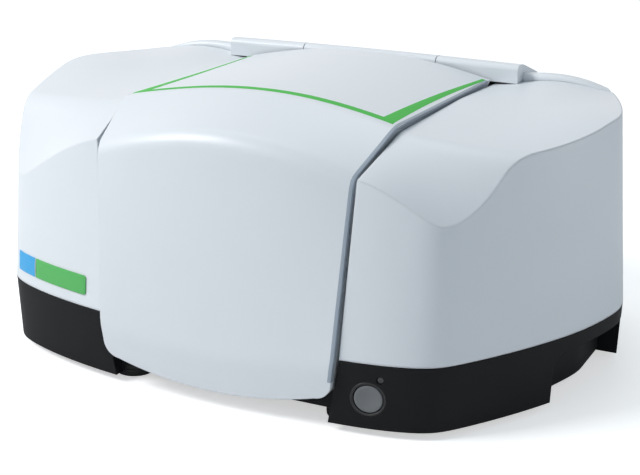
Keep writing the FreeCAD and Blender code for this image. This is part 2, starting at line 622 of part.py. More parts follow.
def hinge_pins():
    length = LEAF_OUT - HINGE_X + HINGE_HALF
    return Part.makeCompound([rod(HINGE_PIN_R, length, (x, HINGE_Y, HINGE_Z), X)
                              for x in (HINGE_X - HINGE_HALF, -LEAF_OUT)])


def finish_lid(lid, trim):
    room = [rod(HINGE_BARREL_R + 0.4, 2 * HINGE_HALF + 1, (sx * HINGE_X - HINGE_HALF - 0.5, HINGE_Y, HINGE_Z), X)
            for sx in (-1, 1)]
    return lid.cut(room).cut(trim)


def lid_buffers():
    return Part.makeCompound([rod(5.0, 12.6, (sx * 60.0, RECESS_Y, 36.0), V(0, -1, 0)) for sx in (-1, 1)])


def sample_bay():
    side = [(BAY_FRONT_Y, BENCH_TOP_Z), (BAY_FRONT_Y, 78.0), (-112.0, 112.0), (-92.0, 148.0), (-60.0, 160.0),
            (BAY_REAR_Y, 160.0), (BAY_REAR_Y, BENCH_TOP_Z)]
    solid = prism([(-BAY_HALF, y, z) for y, z in side], V(2 * BAY_HALF, 0, 0))
    room = box(-BAY_HALF + BAY_WALL, BAY_HALF - BAY_WALL, BAY_FRONT_Y + BAY_WALL, BAY_REAR_Y - BAY_WALL,
               BAY_FLOOR_Z, 200)
    return solid.cut([room, rod(WINDOW_OPEN_R, 200, (-100, 0, BEAM_Z), X)])


WINDOW_OPEN_R = 12.0
WINDOW_R = 15.0


def bay_windows():
    return Part.makeCompound([rod(WINDOW_R, 4.0, (BAY_HALF, 0, BEAM_Z), X),
                              rod(WINDOW_R, 4.0, (-BAY_HALF - 4.0, 0, BEAM_Z), X)])


def window_rings():
    x = BAY_HALF - BAY_WALL
    return Part.makeCompound([tube(17.0, WINDOW_OPEN_R, 2.0, (x - 2.0, 0, BEAM_Z), X),
                              tube(17.0, WINDOW_OPEN_R, 2.0, (-x, 0, BEAM_Z), X)])


RAIL_HALF = 10.0
RAIL_Z = (BAY_FLOOR_Z + 8.0, BAY_FLOOR_Z + 13.0)


def holder_base():
    plate = box(-32, 32, -58, 58, BAY_FLOOR_Z, RAIL_Z[0])
    return plate.fuse(box(-RAIL_HALF, RAIL_HALF, -50, 50, *RAIL_Z)).removeSplitter()


CARD_Z = (86.0, 150.0)
CARD_HALF = 24.0
CARD_THICK = 1.2


def sample_holder():
    foot = box(-17, 17, -20, 20, RAIL_Z[0] + REST_FIT, RAIL_Z[1] + 6.0)
    foot = foot.cut(box(-RAIL_HALF - REST_FIT, RAIL_HALF + REST_FIT, -30, 30, 0, RAIL_Z[1] + REST_FIT))
    post = box(-4, 4, -30, 30, RAIL_Z[1] + 2.0, 138)
    slot = box(-CARD_THICK / 2 - REST_FIT, CARD_THICK / 2 + REST_FIT, -CARD_HALF - REST_FIT,
               CARD_HALF + REST_FIT, CARD_Z[0], 160)
    return foot.fuse(post).cut([slot, rod(13.0, 30, (-15, 0, BEAM_Z), X)]).removeSplitter()


def sample_card():
    card = box(-CARD_THICK / 2, CARD_THICK / 2, -CARD_HALF, CARD_HALF, *CARD_Z)
    return card.cut(rod(10.0, 10, (-5, 0, BEAM_Z), X))


def optics_bench():
    edge = [(-96, -120), (96, -120), (150, -104), (170, -76), (184, -20), (190, 30), (176, 86), (150, 118),
            (-150, 118), (-176, 86), (-190, 30), (-184, -20), (-170, -76), (-150, -104)]
    plate = prism([(x, y, BENCH_BOTTOM_Z) for x, y in edge], V(0, 0, BENCH_THICK))
    cuts = [rod(SCREW_R + SCREW_CLEAR, 20, (x, y, BENCH_BOTTOM_Z - 1)) for x, y in MOUNT_SPOTS]
    cuts += [box(-70, 70, 92, 130, 40, 70)]
    return plate.cut(cuts)


def bench_mounts():
    out = []
    for x, y in MOUNT_SPOTS:
        post = rod(9.0, BENCH_BOTTOM_Z - TRAY_FLOOR_Z, (x, y, TRAY_FLOOR_Z))
        waist = tube(9.5, 7.5, 10.0, (x, y, 26.0))
        out.append(post.cut([waist, rod(SCREW_R + SCREW_CLEAR, 20, (x, y, BENCH_BOTTOM_Z - 15))]))
    return Part.makeCompound(out)


def bench_screws():
    return Part.makeCompound([screw(x, y, BENCH_TOP_Z, 20.0, False) for x, y in MOUNT_SPOTS])


# Scanning mirror pair on a turning table, right hall.
SCAN = (148.0, 22.0)
TABLE_R = 31.0
TABLE_Z = (92.0, 97.0)
PIVOT_R = 4.0


def scan_bearing():
    return tube(12.0, PIVOT_R + RUN_FIT, 28.0, (*SCAN, BENCH_TOP_Z)).fuse(
        tube(18.0, PIVOT_R + RUN_FIT, 4.0, (*SCAN, BENCH_TOP_Z))).removeSplitter()


def scan_table():
    table = rod(TABLE_R, TABLE_Z[1] - TABLE_Z[0], (*SCAN, TABLE_Z[0]))
    arm = box(SCAN[0], SCAN[0] + 44, SCAN[1] - 5, SCAN[1] + 5, *TABLE_Z)
    return table.fuse(arm).cut(rod(PIVOT_R, 20, (*SCAN, 85))).removeSplitter()


def scan_pivot():
    return rod(PIVOT_R, TABLE_Z[1] - BENCH_TOP_Z - 2.0, (*SCAN, BENCH_TOP_Z + 2.0))


def scan_mirrors():
    out = [box(SCAN[0] - 17, SCAN[0] + 17, SCAN[1] + dy - 2, SCAN[1] + dy + 2, TABLE_Z[1], TABLE_Z[1] + 32)
           for dy in (-15, 15)]
    return Part.makeCompound(out)


def drive_coil():
    x = SCAN[0] + 36
    return box(x, x + 8, SCAN[1] - 5, SCAN[1] + 5, 76, TABLE_Z[0]).cut(
        box(x + 2.5, x + 5.5, SCAN[1] - 6, SCAN[1] + 6, 79, 88))


def drive_magnet():
    x = SCAN[0] + 29
    yoke = box(x, x + 22, SCAN[1] - 16, SCAN[1] + 16, BENCH_TOP_Z, 90)
    return yoke.cut(box(x + 4, x + 18, SCAN[1] - 20, SCAN[1] + 20, BENCH_TOP_Z + 6, 95))


def turned(shape, angle, x, y):
    shape.rotate(V(0, 0, 0), Z, angle)
    shape.translate(V(x, y, 0))
    return shape


def splitter_mount():
    ring = rod(20.0, 8.0, (0, -4, BEAM_Z), Y)
    post = box(-8, 8, -4, 4, BENCH_TOP_Z, BEAM_Z - 16)
    foot = box(-14, 14, -10, 10, BENCH_TOP_Z, BENCH_TOP_Z + 4)
    body = union([ring, post, foot]).cut(rod(15.0, 12, (0, -6, BEAM_Z), Y))
    return turned(body, 45.0, *SPLITTER)


def beamsplitter():
    return turned(rod(14.98, 4.0, (0, -2, BEAM_Z), Y), 45.0, *SPLITTER)


SPLITTER = (134.0, -42.0)
END_MIRRORS = [(164.0, -52.0, 60.0), (122.0, -84.0, 10.0)]


def end_mirrors():
    out = []
    for x, y, angle in END_MIRRORS:
        block = box(-15, 15, -4, 4, BEAM_Z - 17, BEAM_Z + 17)
        stand = box(-10, 10, -9, 4, BENCH_TOP_Z, BEAM_Z - 17)
        out.append(turned(block.fuse(stand).removeSplitter(), angle, x, y))
    return Part.makeCompound(out)


SOURCE = (150.0, 82.0)


def source_housing():
    outer = rod(17.0, 62.0, (*SOURCE, BENCH_TOP_Z)).fuse(rod(21.0, 4.0, (*SOURCE, BENCH_TOP_Z)))
    fins = [rod(21.0, 2.0, (*SOURCE, z)) for z in (78.0, 84.0, 90.0)]
    body = outer.fuse(fins).cut(rod(11.0, 54.0, (*SOURCE, BENCH_TOP_Z + 4.0)))
    return body.cut(rod(8.0, 30, (SOURCE[0] - 30, SOURCE[1], BEAM_Z), X)).removeSplitter()


def ir_source():
    stem = rod(6.0, 36.0, (*SOURCE, BENCH_TOP_Z + 4.0))
    return stem.fuse(rod(3.0, 14.0, (*SOURCE, BENCH_TOP_Z + 40.0))).removeSplitter()


def source_mirror():
    block = box(104, 120, 66, 98, BENCH_TOP_Z, 132)
    return block.cut(Part.makeSphere(60.0, V(172, 80, BEAM_Z)))


def laser_module():
    body = box(102, 114, 14, 56, BENCH_TOP_Z, 84)
    return body.fuse(rod(4.0, 8.0, (108, 6, 76), Y)).removeSplitter()


def laser_detector():
    post = box(100, 112, -66, -54, BENCH_TOP_Z, 78)
    return post.fuse(rod(5.0, 6.0, (106, -54, 72), Y)).removeSplitter()


# Filter wheel and its motor, left hall.
WHEEL = (-106.0, 22.0)
WHEEL_R = 30.0
WHEEL_HOLES = 6
WHEEL_HOLE_R = 7.0
SHAFT_R = 2.0


def wheel_spots():
    out = []
    for i in range(WHEEL_HOLES):
        a = math.radians(180.0 + 360.0 / WHEEL_HOLES * i)
        out.append((WHEEL[1] + 22.0 * math.cos(a), BEAM_Z + 22.0 * math.sin(a)))
    return out


def filter_wheel():
    wheel = rod(WHEEL_R, 4.0, (WHEEL[0] - 2, WHEEL[1], BEAM_Z), X).fuse(
        rod(6.0, 8.0, (WHEEL[0] - 6, WHEEL[1], BEAM_Z), X))
    cuts = [rod(WHEEL_HOLE_R, 10, (WHEEL[0] - 5, y, z), X) for y, z in wheel_spots()]
    cuts.append(rod(SHAFT_R, 20, (WHEEL[0] - 10, WHEEL[1], BEAM_Z), X))
    return wheel.cut(cuts).removeSplitter()


def wheel_filters():
    return Part.makeCompound([rod(WHEEL_HOLE_R - 0.02, 2.0, (WHEEL[0] - 1, y, z), X) for y, z in wheel_spots()[1:]])


def wheel_shaft():
    return rod(SHAFT_R, 16.0, (WHEEL[0] - 14, WHEEL[1], BEAM_Z), X)


def wheel_motor():
    can = rod(14.0, 24.0, (WHEEL[0] - 32, WHEEL[1], BEAM_Z), X)
    stand = box(WHEEL[0] - 32, WHEEL[0] - 10, WHEEL[1] - 10, WHEEL[1] + 10, BENCH_TOP_Z, BEAM_Z - 8)
    foot = box(WHEEL[0] - 34, WHEEL[0] - 8, WHEEL[1] - 14, WHEEL[1] + 14, BENCH_TOP_Z, BENCH_TOP_Z + 4)
    bore = rod(SHAFT_R + RUN_FIT, 10, (WHEEL[0] - 15, WHEEL[1], BEAM_Z), X)
    return union([can, stand, foot]).cut(bore)


def steering_mirrors():
    out = []
    for x, y, angle in ((-158.0, 2.0, 50.0), (-176.0, 50.0, 95.0)):
        block = box(-15, 15, -3, 3, BEAM_Z - 18, BEAM_Z + 18)
        stand = box(-9, 9, -8, 3, BENCH_TOP_Z, BEAM_Z - 18)
        out.append(turned(block.fuse(stand).removeSplitter(), angle, x, y))
    return Part.makeCompound(out)


def detector_mirror():
    block = box(-128, -104, -96, -62, BENCH_TOP_Z, 136)
    return block.cut(Part.makeSphere(60.0, V(-168, -60, BEAM_Z)))


DETECTOR = (-160.0, -56.0)


def detector_housing():
    body = rod(16.0, 58.0, (*DETECTOR, BENCH_TOP_Z)).fuse(rod(20.0, 5.0, (*DETECTOR, BENCH_TOP_Z)))
    return body.cut(rod(5.0, 12.0, (DETECTOR[0] + 8, DETECTOR[1], BEAM_Z), X)).removeSplitter()


def detector_element():
    return rod(4.98, 3.0, (DETECTOR[0] + 8, DETECTOR[1], BEAM_Z), X)


BOARD = (-66.0, 66.0, -100.0, 78.0)
BOARD_Z = 22.0


def board_spots():
    x0, x1, y0, y1 = BOARD
    return [(x, y) for x in (x0 + 6, x1 - 6) for y in (y0 + 6, (y0 + y1) / 2, y1 - 6)]


def main_board():
    x0, x1, y0, y1 = BOARD
    plate = box(x0, x1, y0, y1, BOARD_Z, BOARD_Z + 1.6)
    top = BOARD_Z + 1.6
    parts = [box(-50, -20, -60, -30, top, top + 4), box(0, 14, -80, -66, top, top + 2), box(24, 54, 20, 60, top, top + 18),
             box(-52, -32, 20, 60, top, top + 12), box(-10, 6, -10, 6, top, top + 2.5),
             rod(7.0, 20.0, (34, -30, top)), rod(7.0, 20.0, (50, -30, top))]
    return plate.fuse(parts).removeSplitter()


def board_standoffs():
    return Part.makeCompound([rod(3.0, BOARD_Z - MIDDLE_FLOOR_Z, (x, y, MIDDLE_FLOOR_Z)) for x, y in board_spots()])


def cartridge_frame():
    """Open-topped holder for the two drying cartridges; it also carries the lid hinge brackets."""
    outer = box(-54, 54, FRAME_FRONT_Y, 117, BENCH_BOTTOM_Z, FRAME_TOP_Z)
    cuts = [box(-51.5, -FRAME_WEB_HALF, FRAME_FRONT_Y + 2.5, 114.5, 92, 200),
            box(FRAME_WEB_HALF, 51.5, FRAME_FRONT_Y + 2.5, 114.5, 92, 200),
            box(-51.5, 51.5, FRAME_FRONT_Y + 2.5, 118, BENCH_BOTTOM_Z - 1, 89.5),
            rod(GUIDE_R + RUN_FIT, 60, (*GUIDE_SPOT, GUIDE_LOW_Z - 4.0))]
    return outer.cut(cuts)


FRAME_WEB_HALF = 6.0


def desiccant_cartridges():
    out = []
    x0, x1 = FRAME_WEB_HALF + 0.5, 51.0
    middle = (x0 + x1) / 2
    case = box(x0, x1, FRAME_FRONT_Y + 3, 114, 92, 176)
    grip = box(middle - 8, middle + 8, FRAME_FRONT_Y + 7, 110, 176, 182)
    one = case.fuse(grip).removeSplitter()
    return Part.makeCompound([one, mirrored(one)])


def build_all():
    trim = lid_trim()
    lid = finish_lid(sample_lid(), trim)
    shell = rear_shell()
    parts = {
        "base_tray": base_tray(), "handle_liners": handle_liners(), "rubber_feet": rubber_feet(),
        "foot_screws": foot_screws(), "cover_screws": cover_screws(),
        "right_cover": finish_side_cover(side_cover(1), 1), "left_cover": finish_side_cover(side_cover(-1), -1),
        "rear_cover": rear_cover(shell), "desiccant_hatch": desiccant_hatch(shell),
        "sample_lid": lid, "lid_trim": trim, "lid_hinge_brackets": hinge_brackets(),
        "lid_hinge_leaves": hinge_leaves(), "lid_hinge_pins": hinge_pins(), "lid_buffers": lid_buffers(),
        "power_button": power_button(), "button_bezel": button_bezel(), "status_lamp": status_lamp(),
        "switch_board": switch_board(), "rear_panel": rear_panel(), "power_inlet": power_inlet(),
        "data_sockets": data_sockets(),
        "marker_plate_blue": marker_plate(MARKER_X[0], MARKER_X[1] - 0.1),
        "marker_plate_green": marker_plate(MARKER_X[1], MARKER_X[2]),
        "sample_bay": sample_bay(), "bay_windows": bay_windows(), "window_rings": window_rings(),
        "holder_base": holder_base(), "sample_holder": sample_holder(), "sample_card": sample_card(),
        "optics_bench": optics_bench(), "bench_mounts": bench_mounts(), "bench_screws": bench_screws(),
        "scan_bearing": scan_bearing(), "scan_table": scan_table(), "scan_pivot": scan_pivot(),
        "scan_mirrors": scan_mirrors(), "drive_coil": drive_coil(), "drive_magnet": drive_magnet(),
        "splitter_mount": splitter_mount(), "beamsplitter": beamsplitter(), "end_mirrors": end_mirrors(),
        "source_housing": source_housing(), "ir_source": ir_source(), "source_mirror": source_mirror(),
        "laser_module": laser_module(), "laser_detector": laser_detector(),
        "filter_wheel": filter_wheel(), "wheel_filters": wheel_filters(), "wheel_shaft": wheel_shaft(),
        "wheel_motor": wheel_motor(), "steering_mirrors": steering_mirrors(),
        "detector_mirror": detector_mirror(), "detector_housing": detector_housing(),
        "detector_element": detector_element(), "main_board": main_board(),
        "board_standoffs": board_standoffs(), "cartridge_frame": cartridge_frame(),
        "desiccant_cartridges": desiccant_cartridges(),
    }
    for name, shape in parts.items():
        print("%-22s valid %s solids %d volume %.0f" % (name, shape.isValid(), len(shape.Solids), shape.Volume))
        export(name, shape)


build_all()
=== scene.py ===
import json
import math

import bmesh
import bpy
from mathutils import Matrix, Vector
from mathutils.bvhtree import BVHTree

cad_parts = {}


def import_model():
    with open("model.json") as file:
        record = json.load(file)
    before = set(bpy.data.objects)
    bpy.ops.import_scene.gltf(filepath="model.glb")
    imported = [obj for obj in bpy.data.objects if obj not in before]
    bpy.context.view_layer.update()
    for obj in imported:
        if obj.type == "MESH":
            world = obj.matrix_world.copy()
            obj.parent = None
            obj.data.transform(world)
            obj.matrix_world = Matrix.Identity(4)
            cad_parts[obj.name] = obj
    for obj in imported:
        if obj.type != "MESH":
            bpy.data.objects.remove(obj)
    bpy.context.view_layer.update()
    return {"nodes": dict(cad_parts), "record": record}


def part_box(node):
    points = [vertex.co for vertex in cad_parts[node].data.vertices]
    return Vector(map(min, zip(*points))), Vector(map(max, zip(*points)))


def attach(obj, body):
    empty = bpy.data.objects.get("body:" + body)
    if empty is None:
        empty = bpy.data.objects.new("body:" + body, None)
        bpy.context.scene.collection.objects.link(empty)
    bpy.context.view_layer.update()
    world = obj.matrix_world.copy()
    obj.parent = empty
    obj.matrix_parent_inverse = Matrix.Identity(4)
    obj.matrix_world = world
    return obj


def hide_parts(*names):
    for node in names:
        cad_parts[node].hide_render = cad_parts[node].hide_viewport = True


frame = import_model()
nodes = frame["nodes"]

MM = 0.001
WELD = 1e-7
UP = Vector((0, 0, 1))
WHITE = (1, 1, 1, 1)

# Places and sizes in metres that the looks share with the construction.
BUTTON_SPOT = Vector((0.1082, -0.1422, 0.0261))
LAMP_SPOT = Vector((0.1161, -0.1414, 0.0400))
BUTTON_TURN = math.radians(10.0)
BASE_TILT = 1.8 / 44.5
BUTTON_OUT = Vector((math.sin(BUTTON_TURN), -math.cos(BUTTON_TURN), -BASE_TILT)).normalized()
FOOT_R, FOOT_HIGH, FOOT_SEAT = 0.0145, 0.010, 0.005
FOOT_SPOTS = ((0.082, -0.116), (0.150, 0.104))
SCREW_HEAD_R, SCREW_HEAD_H = 0.0036, 0.0030
FOOT_SCREW_LONG, COVER_SCREW_LONG, BENCH_SCREW_LONG = 0.012, 0.044, 0.020
COVER_SCREW_SPOTS, COVER_SCREW_SEAT = ((0.179, -0.075), (0.189, 0.086), (0.112, 0.138)), 0.0085
BENCH_SCREW_SPOTS, BENCH_TOP = ((0.152, -0.086), (0.118, 0.108)), 0.062
DATA_SOCKETS = ((-0.066, -0.049), (-0.040, -0.026), (-0.018, -0.004))
SOCKET_MOUTH_Y, SOCKET_MIDDLE_Z = 0.1396, 0.030

# The lid is measured from a heart inside the bay, with its front LID_REACH ahead. The bead on its edge, painted
# shade that stands in for the lid's shaded side wall, covers RIM_TURN, in degrees round the heart up from straight
# ahead, in RIM_ROWS rows. RIM_FAN holds the angles of the bead's own round, in degrees from straight outward.
LID_HEART = Vector((0.0, -0.020, 0.100))
LID_REACH = 0.130
RIM_TURN = (-26.5, 142.5)
RIM_ROWS = 225
RIM_FAN = (-8, 6, 20, 33, 46, 59, 71, 80)
RIM_DEEP, RIM_PROUD, RIM_SINK = 3.0 * MM, 0.15 * MM, 0.1 * MM
TRIM_PROUD = 0.15 * MM

# Studio: brightness of the surroundings as light, the glow of the floor for the camera, and the area lamps as
# name, place, size in metres and power in watts.
WORLD_TINT, WORLD_LIGHT = (0.70, 0.87, 1.0, 1), 0.31
FLOOR_TONE, FLOOR_SIZE, FLOOR_GLOW = (0.88, 0.88, 0.88, 1), 8.0, 0.55
LAMPS = (("key", (-1.55, -1.25, 1.80), 0.9, 46.0), ("top", (-0.45, 0.45, 1.9), 1.1, 6.0),
         ("low", (1.6, 0.5, 0.30), 0.6, 3.5))
LAMP_AIM = Vector((0.0, 0.0, 0.1))


class Socket:
    """Value, colour or vector in a node tree; an expression on it adds its own Math nodes."""

    def __init__(self, sheet, link):
        self.sheet, self.link = sheet, link

    def __add__(self, other):
        return self.sheet.maths("ADD", self, other)

    def __radd__(self, other):
        return self.sheet.maths("ADD", other, self)

    def __sub__(self, other):
        return self.sheet.maths("SUBTRACT", self, other)

    def __rsub__(self, other):
        return self.sheet.maths("SUBTRACT", other, self)

    def __mul__(self, other):
        return self.sheet.maths("MULTIPLY", self, other)

    def __rmul__(self, other):
        return self.sheet.maths("MULTIPLY", other, self)


class Sheet:
    """One node tree, and the ways to add a node to it."""

    def __init__(self, tree):
        self.tree = tree

    def node(self, kind, settings=(), output=0, **inputs):
        """Any node by its type: settings first, then the values or links of its sockets. A socket goes by its name
        with _ for a space, or by its number as n0, n1 and so on."""
        made = self.tree.nodes.new("ShaderNode" + kind)
        for name, value in dict(settings).items():
            setattr(made, name, value)
        for name, value in inputs.items():
            numbered = name[0] == "n" and name[1:].isdigit()
            self.feed(made.inputs[int(name[1:]) if numbered else name.replace("_", " ")], value)
        return Socket(self, made.outputs[output])

    def feed(self, socket, value):
        """Gives a socket a constant, or links it."""
        if isinstance(value, Socket):
            self.tree.links.new(value.link, socket)
        else:
            socket.default_value = value

    def maths(self, operation, a, b):
        return self.node("Math", {"operation": operation}, n0=a, n1=b)

    def mix(self, share, a, b):
        return self.node("Mix", {"data_type": "RGBA"}, output=2, n0=share, n6=a, n7=b)


class Finish(Sheet):
    """One material and the few patterns that this instrument's finishes need."""

    def __init__(self, name):
        self.material = bpy.data.materials.new(name)
        self.material.use_nodes = True
        super().__init__(self.material.node_tree)
        self.shader = self.tree.nodes["Principled BSDF"]

    def place(self, scale=(1.0, 1.0, 1.0)):
        """Place on the piece in metres, times a scale for each direction."""
        where = self.node("TexCoord", output="Object")
        return self.node("Mapping", Vector=where, Scale=scale)

    def noise(self, size, detail=3.0, rough=0.55, stretch=(1.0, 1.0, 1.0)):
        """Soft random value from 0 to 1 with lumps of about the given size in metres."""
        return self.node("TexNoise", Vector=self.place(stretch), Scale=1.0 / size, Detail=detail, Roughness=rough)

    def cells(self, size):
        return self.node("TexVoronoi", Vector=self.place(), Scale=1.0 / size)

    def step(self, value, low, high):
        """Rises from 0 to 1 as the value goes from low to high."""
        return self.node("MapRange", {"interpolation_type": "SMOOTHSTEP"}, Value=value,
                         From_Min=low, From_Max=high, To_Min=0.0, To_Max=1.0)

    def rounded(self, radius):
        """Normal that turns softly round the edges."""
        return self.node("Bevel", {"samples": 4}, Radius=radius)

    def edge_wear(self, radius):
        """Nearly 1 on sharp edges and 0 on flat places."""
        facing = self.node("NewGeometry", output="Normal")
        alike = self.node("VectorMath", {"operation": "DOT_PRODUCT"}, output="Value",
                          n0=self.rounded(radius), n1=facing)
        return self.step(1.0 - alike, 0.01, 0.12)

    def relief(self, height, strength, distance, round_edge):
        """Normal with softly rounded edges under a fine relief."""
        return self.node("Bump", Height=height, Strength=strength, Distance=distance,
                         Normal=self.rounded(round_edge))

    def set(self, **values):
        """Feeds the shader's own sockets, which go by their names with _ for a space."""
        for name, value in values.items():
            self.feed(self.shader.inputs[name.replace("_", " ")], value)
        return self.material


def cover_white(name="cover_white", round_edge=0.0009):
    """Painted white covers: satin, with faint orange peel and a paler bloom near the edges."""
    f = Finish(name)
    peel = f.noise(0.0016, detail=2.0)
    cloud = f.noise(0.09, detail=2.0)
    clean = f.mix(cloud, (0.765, 0.790, 0.820, 1), (0.795, 0.818, 0.845, 1))
    return f.set(Base_Color=f.mix(f.edge_wear(0.0012) * 0.35, clean, (0.84, 0.855, 0.875, 1)),
                 Roughness=0.34 + peel * 0.08 + cloud * 0.04, Coat_Weight=0.08, Coat_Roughness=0.22,
                 Normal=f.relief(peel, 0.06, 0.0002, round_edge))


def base_black():
    """Moulded near-black base with a fine spark-eroded grain, paler where edges are rubbed."""
    f = Finish("base_black")
    grain = f.noise(0.0007, detail=4.0, rough=0.7)
    cloud = f.noise(0.05)
    rubbed = f.edge_wear(0.0008) * (0.2 + cloud * 0.3)
    plain = f.mix(cloud, (0.0065, 0.0067, 0.0075, 1), (0.0100, 0.0103, 0.0112, 1))
    return f.set(Base_Color=f.mix(rubbed, plain, (0.030, 0.030, 0.033, 1)), Specular_IOR_Level=0.16,
                 Roughness=0.50 + grain * 0.16, Normal=f.relief(grain, 0.35, 0.00012, 0.0006))


def coloured(name, colour, pale, rough):
    """Satin printed or moulded colour with a little unevenness."""
    f = Finish(name)
    cloud = f.noise(0.03, detail=2.0)
    fine = f.noise(0.0009)
    return f.set(Base_Color=f.mix(cloud * 0.5, colour, pale), Specular_IOR_Level=0.3,
                 Roughness=rough + fine * 0.08, Normal=f.relief(fine, 0.05, 0.0001, 0.0003))


def black_rubber():
    """Dull rubber of the feet with dust in its cells."""
    f = Finish("black_rubber")
    dust = f.step(f.noise(0.012, detail=4.0), 0.45, 0.75)
    return f.set(Base_Color=f.mix(dust * 0.5, (0.016, 0.016, 0.016, 1), (0.050, 0.049, 0.047, 1)),
                 Roughness=0.72 + dust * 0.15, Normal=f.relief(f.cells(0.0008), 0.3, 0.0001, 0.0005))


def brushed(name, colour, rough, stretch, wear=0.3):
    """Machined or brushed metal: streaks along one direction and brighter rubbed edges."""
    f = Finish(name)
    streak = f.noise(0.0012, detail=4.0, rough=0.7, stretch=stretch)
    cloud = f.noise(0.02)
    dark = tuple(c * 0.82 for c in colour) + (1,)
    bright = tuple(min(1.0, c * 1.15) for c in colour) + (1,)
    base = f.mix(streak * 0.6 + cloud * 0.3, dark, colour + (1,))
    return f.set(Base_Color=f.mix(f.edge_wear(0.0005) * wear, base, bright), Metallic=1.0,
                 Roughness=rough + streak * 0.14, Normal=f.relief(streak, 0.08, 0.0001, 0.0003))


def mirror_glass():
    """Front-coated mirrors with a warm tone and a breath of haze."""
    f = Finish("mirror_glass")
    haze = f.noise(0.008)
    return f.set(Base_Color=f.mix(haze * 0.4, (0.90, 0.86, 0.76, 1), (0.93, 0.90, 0.84, 1)), Metallic=1.0,
                 Roughness=0.03 + haze * 0.04)


def window_glass():
    """Clear windows and filters with a faint blue cast."""
    f = Finish("window_glass")
    haze = f.noise(0.006)
    return f.set(Base_Color=f.mix(haze, (0.90, 0.95, 0.97, 1), (0.96, 0.98, 0.99, 1)),
                 Roughness=0.02 + haze * 0.05, Transmission_Weight=0.85, IOR=1.53)


def moulded(name, colour, grain_size=0.0009, strength=0.22, rough=0.48):
    """Plain moulded plastic with a fine grain and slightly rubbed edges."""
    f = Finish(name)
    grain = f.noise(grain_size, detail=4.0, rough=0.65)
    cloud = f.noise(0.04)
    dark = tuple(c * 0.86 for c in colour) + (1,)
    rubbed = tuple(c * 0.7 + 0.16 for c in colour) + (1,)
    base = f.mix(cloud, dark, colour + (1,))
    return f.set(Base_Color=f.mix(f.edge_wear(0.0006) * 0.4, base, rubbed), Roughness=rough + grain * 0.12,
                 Normal=f.relief(grain, strength, 0.0001, 0.0004))


def board_green():
    """Lacquered circuit board with paler tracks."""
    f = Finish("board_green")
    tracks = f.step(f.node("TexBrick", {"offset": 0.3}, Vector=f.place(), Scale=60.0, n5=0.02), 0.4, 0.6)
    fine = f.noise(0.001)
    return f.set(Base_Color=f.mix(tracks * 0.7, (0.02, 0.16, 0.06, 1), (0.05, 0.26, 0.10, 1)),
                 Roughness=0.35 + fine * 0.15, Normal=f.relief(tracks, 0.2, 0.0001, 0.0003))


def copper_coil():
    """Turns of enamelled wire, as fine ridges across Z."""
    f = Finish("copper_coil")
    turns = f.node("TexWave", {"wave_type": "BANDS", "bands_direction": "Z"}, output=1, Vector=f.place(),
                   Scale=400.0, Distortion=0.4)
    return f.set(Base_Color=f.mix(turns, (0.36, 0.13, 0.05, 1), (0.80, 0.38, 0.17, 1)), Metallic=1.0,
                 Roughness=0.25 + turns * 0.2, Normal=f.relief(turns, 0.6, 0.0003, 0.0002))


def card_white():
    """Pressed card with its fibres along one direction."""
    f = Finish("card_white")
    fibre = f.noise(0.0012, detail=5.0, rough=0.7, stretch=(1.0, 3.0, 1.0))
    return f.set(Base_Color=f.mix(fibre, (0.80, 0.79, 0.75, 1), (0.86, 0.86, 0.83, 1)),
                 Roughness=0.75 + fibre * 0.1, Normal=f.relief(fibre, 0.25, 0.0001, 0.0002))


def lamp_lens():
    """Smoked lens of the small lamp, unlit."""
    f = Finish("lamp_lens")
    haze = f.noise(0.003)
    return f.set(Base_Color=f.mix(haze, (0.012, 0.012, 0.014, 1), (0.022, 0.022, 0.026, 1)),
                 Roughness=0.10 + haze * 0.06, Coat_Weight=0.6)


FINISHES = {
    "cover_white": cover_white(),
    "base_black": base_black(),
    "black_rubber": black_rubber(),
    "green_trim": coloured("green_trim", (0.075, 0.490, 0.078, 1), (0.090, 0.520, 0.090, 1), 0.62),
    "marker_blue": coloured("marker_blue", (0.045, 0.385, 0.760, 1), (0.075, 0.440, 0.800, 1), 0.30),
    "marker_green": coloured("marker_green", (0.095, 0.460, 0.115, 1), (0.120, 0.500, 0.135, 1), 0.30),
    "button_grey": moulded("button_grey", (0.185, 0.190, 0.195), rough=0.42),
    "bezel_black": moulded("bezel_black", (0.012, 0.012, 0.013), strength=0.1, rough=0.30),
    "lamp_lens": lamp_lens(),
    "steel_screws": brushed("steel_screws", (0.55, 0.55, 0.57), 0.22, (1.0, 1.0, 6.0)),
    "cast_aluminium": brushed("cast_aluminium", (0.60, 0.61, 0.63), 0.36, (1.0, 5.0, 1.0), 0.5),
    "steel_parts": brushed("steel_parts", (0.48, 0.49, 0.51), 0.28, (5.0, 1.0, 1.0)),
    "magnet_nickel": brushed("magnet_nickel", (0.62, 0.60, 0.56), 0.16, (1.0, 1.0, 1.0)),
    "mirror_glass": mirror_glass(),
    "window_glass": window_glass(),
    "bay_grey": moulded("bay_grey", (0.075, 0.080, 0.088), grain_size=0.0011, strength=0.3),
    "board_green": board_green(),
    "copper_coil": copper_coil(),
    "source_ceramic": moulded("source_ceramic", (0.72, 0.67, 0.58), grain_size=0.0006, strength=0.3, rough=0.7),
    "cartridge_blue": moulded("cartridge_blue", (0.16, 0.30, 0.50)),
    "card_white": card_white(),
    # frame_grey's blue-grey is painted shade: on the lid rims it stands in for the shaded side wall of the lid.
    "frame_grey": moulded("frame_grey", (0.360, 0.415, 0.480), strength=0.1),
}
SOFT_COVER = cover_white("cover_white_soft", 0.0024)


def dress_nodes():
    """Gives every node the finish of its slot; the side covers' creases are the softer ones."""
    slot_of = {part["node"]: part["material_slot"] for part in frame["record"]["subparts"]}
    for name, node in nodes.items():
        if not node.material_slots:
            node.data.materials.append(None)
        for slot in node.material_slots:
            slot.material = SOFT_COVER if name in ("left_cover", "right_cover") else FINISHES[slot_of[name]]


